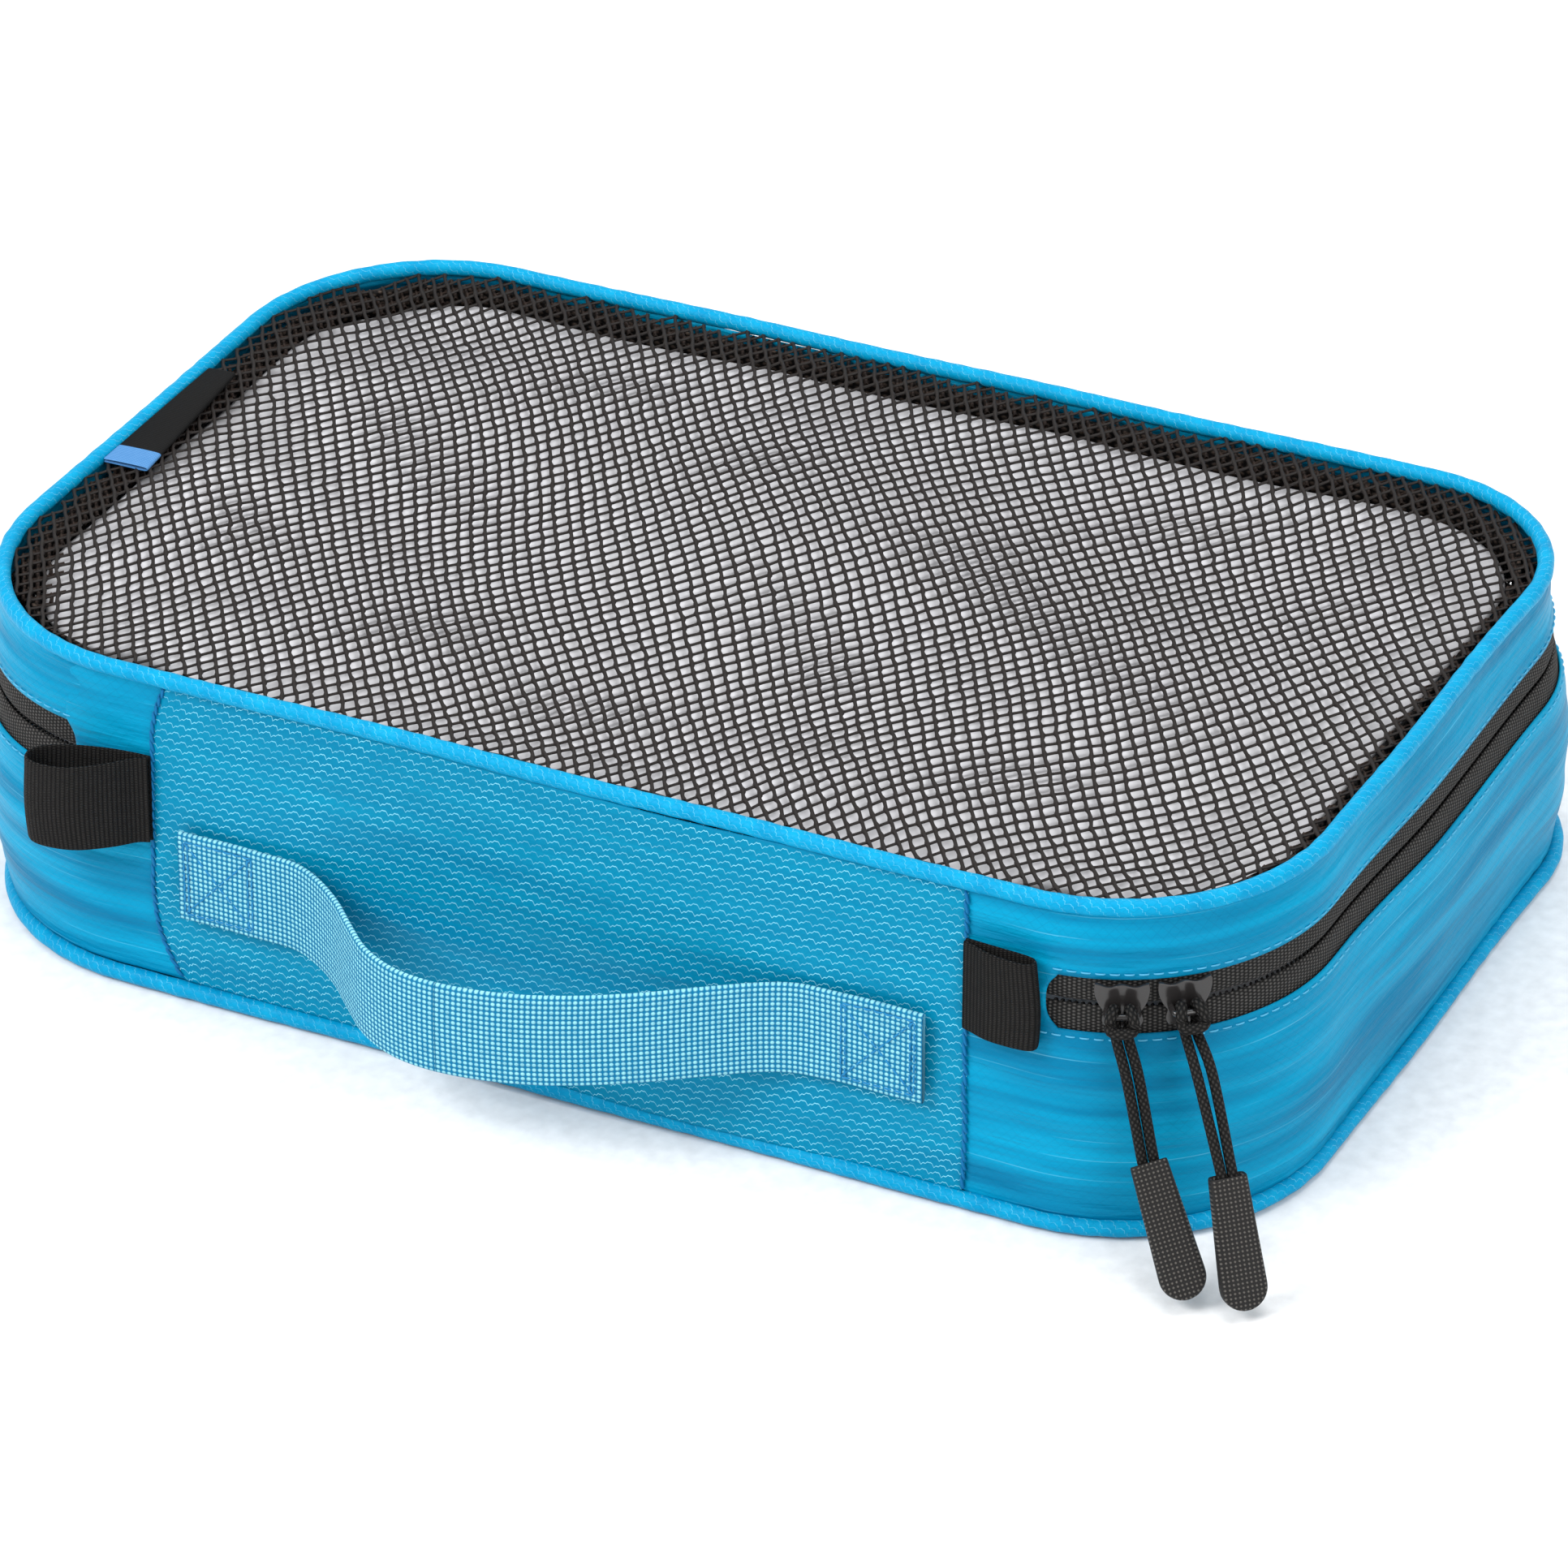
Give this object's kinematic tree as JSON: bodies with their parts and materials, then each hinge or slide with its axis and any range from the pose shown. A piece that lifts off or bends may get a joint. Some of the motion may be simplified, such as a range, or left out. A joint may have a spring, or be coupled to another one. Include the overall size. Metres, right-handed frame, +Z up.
{
  "type": "packing cube",
  "caption": "Soft rectangular zipped packing cube with a fold-open mesh lid, webbing carry handle, side loops and cord zip pulls.",
  "frame": {"origin": "middle of the underside, on the surface it rests on", "axes": "+X along the long side, -Y towards the handle side, +Z up"},
  "size_m": [0.3347, 0.2364, 0.08],
  "materials": {
    "side_ripstop": "satin",
    "panel_ripstop": "satin",
    "piping_ripstop": "satin",
    "piping_core": "matte",
    "seam_binding": "matte",
    "zip_tape": "matte",
    "zip_coil": "satin",
    "handle_webbing": "satin",
    "grosgrain": "satin",
    "lid_mesh": "matte",
    "woven_label": "matte",
    "slider_enamel": "gloss",
    "braided_cord": "matte",
    "grip_rubber": "matte"
  },
  "bodies": {
    "base": {"bottom_panel": "side_ripstop", "lower_band": "side_ripstop", "handle_panel": "panel_ripstop", "bottom_piping_cover": "piping_ripstop", "bottom_piping_cord": "piping_core", "bottom_seam_binding": "seam_binding", "lower_zip_tape": "zip_tape", "lower_zip_coil": "zip_coil", "handle_end_left": "handle_webbing", "handle_end_right": "handle_webbing", "loop_left": "grosgrain", "loop_right": "grosgrain"},
    "lid": {"mesh_panel": "lid_mesh", "upper_band": "side_ripstop", "handle_panel_top": "panel_ripstop", "top_piping_cover": "piping_ripstop", "top_piping_cord": "piping_core", "top_seam_binding": "seam_binding", "upper_zip_tape": "zip_tape", "upper_zip_coil": "zip_coil", "label_tab": "woven_label"},
    "handle": {"handle_strap": "handle_webbing"},
    "left_slider": {"slider_left": "slider_enamel"},
    "right_slider": {"slider_right": "slider_enamel"},
    "left_pull": {"pull_cord_left": "braided_cord", "pull_grip_left": "grip_rubber"},
    "right_pull": {"pull_cord_right": "braided_cord", "pull_grip_right": "grip_rubber"}
  },
  "joints": [
    {"name": "lid_fold", "type": "hinge", "parent": "base", "child": "lid", "pos_m": [0, -0.097, 0.0665], "axis": [1, 0, 0], "range_deg": [0, 105]},
    {"name": "handle_lift", "type": "hinge", "parent": "base", "child": "handle", "pos_m": [-0.0015, -0.0993, 0.0445], "axis": [-1, 0, 0], "range_deg": [0, 45]},
    {"name": "left_slider_travel", "type": "hinge", "parent": "base", "child": "left_slider", "pos_m": [0.11236, -0.0504, 0.055], "axis": [0, 0, 1], "range_deg": [-10, 1.2]},
    {"name": "right_slider_travel", "type": "hinge", "parent": "base", "child": "right_slider", "pos_m": [0.11236, -0.0504, 0.055], "axis": [0, 0, 1], "range_deg": [0, 47]},
    {"name": "left_pull_swing", "type": "hinge", "parent": "left_slider", "child": "left_pull", "pos_m": [0.13384, -0.09688, 0.055], "axis": [-0.9078, -0.4195, 0], "range_deg": [0, 60]},
    {"name": "right_pull_swing", "type": "hinge", "parent": "right_slider", "child": "right_pull", "pos_m": [0.14541, -0.08951, 0.055], "axis": [-0.7638, -0.6455, 0], "range_deg": [0, 52]}
  ]
}
